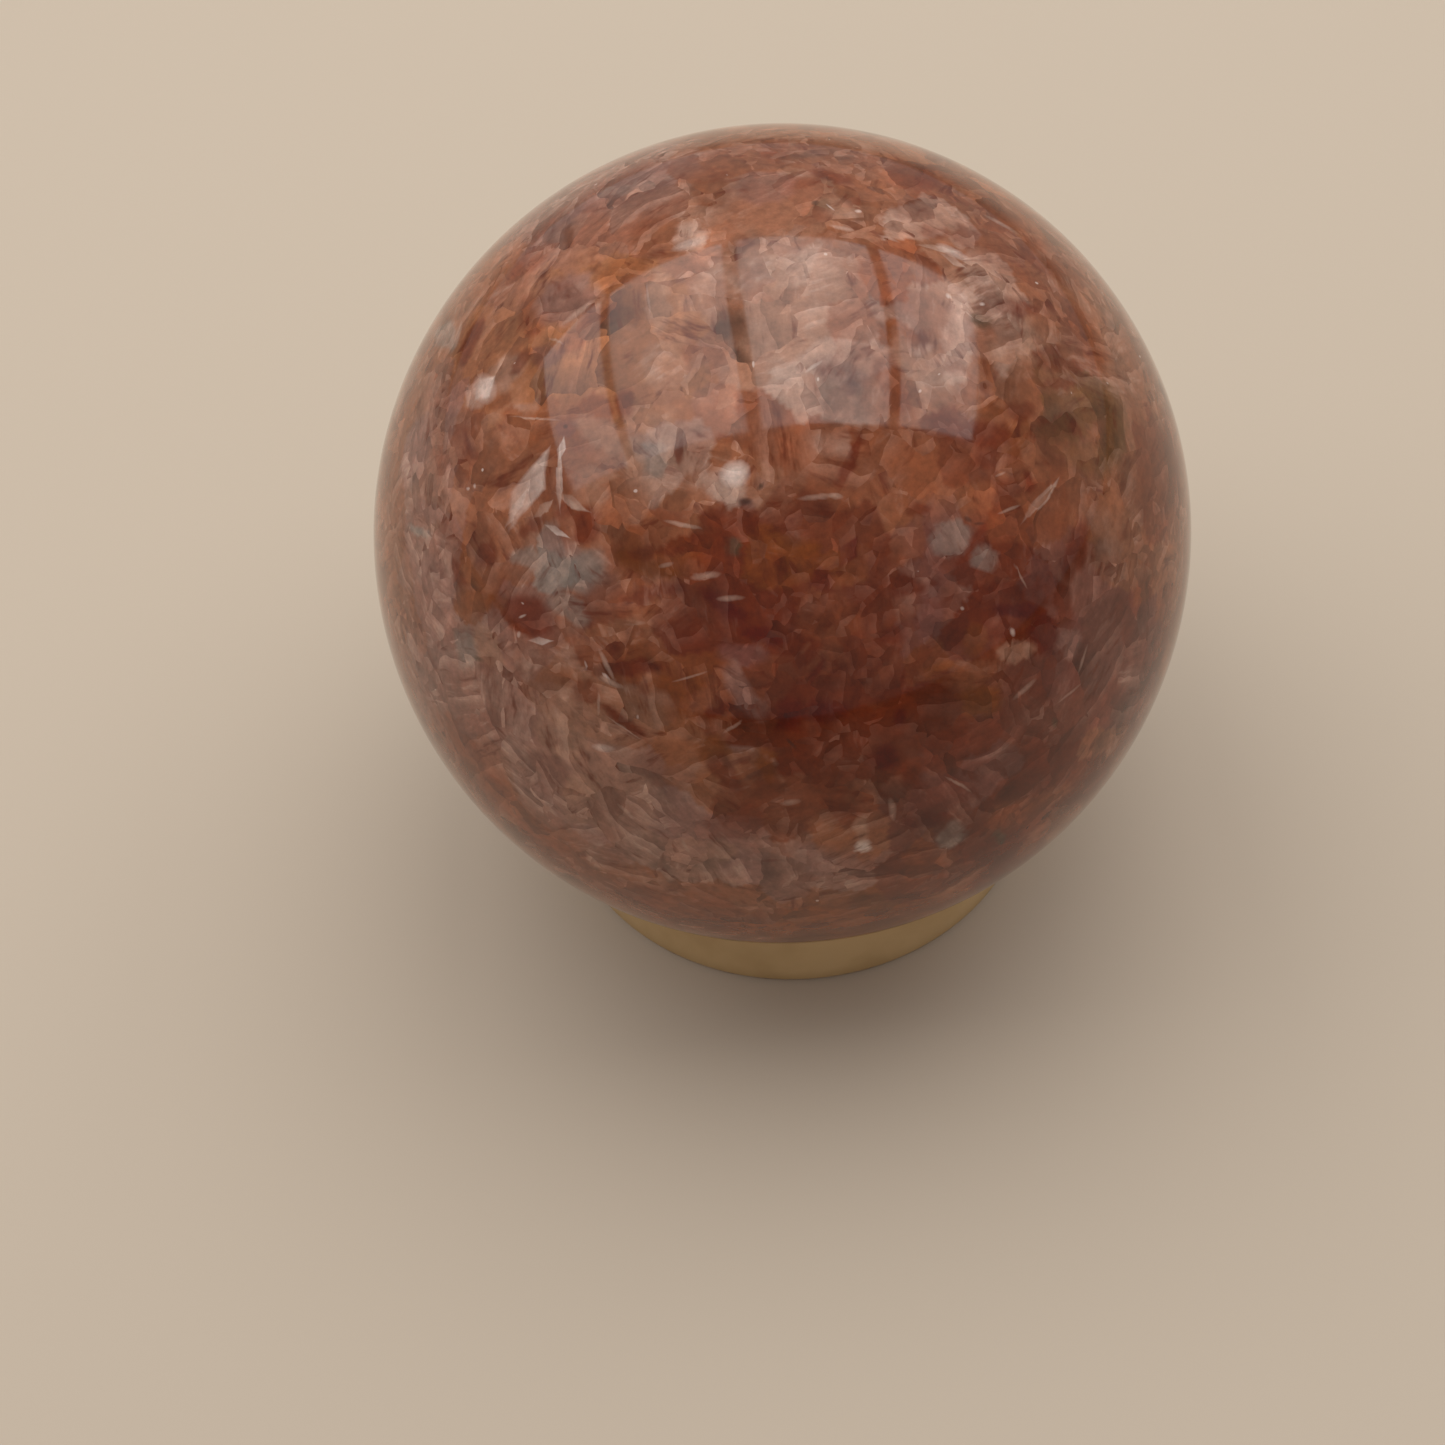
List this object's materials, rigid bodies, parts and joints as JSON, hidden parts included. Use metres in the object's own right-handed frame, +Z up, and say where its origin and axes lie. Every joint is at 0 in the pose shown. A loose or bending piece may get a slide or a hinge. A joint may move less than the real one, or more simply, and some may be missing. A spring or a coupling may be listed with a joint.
{
  "type": "polished sunstone sphere on a ring stand",
  "caption": "Polished sphere of orange and pink feldspar that rests by its own weight in the hollow seat of a low cream ring stand.",
  "frame": {"origin": "middle of the ring stand's flat underside, where the axis through the stone's centre meets the table", "axes": "+Z up, from the table through the stone's centre; the picture's camera looks along +Y and down; the part is round about +Z, so +X is only the picture's right"},
  "size_m": [0.06, 0.06, 0.0604],
  "materials": {
    "polished_sunstone": "polished",
    "cream_plastic": "satin"
  },
  "bodies": {
    "root": {"stone_sphere": "polished_sunstone", "ring_stand": "cream_plastic"}
  },
  "joints": []
}
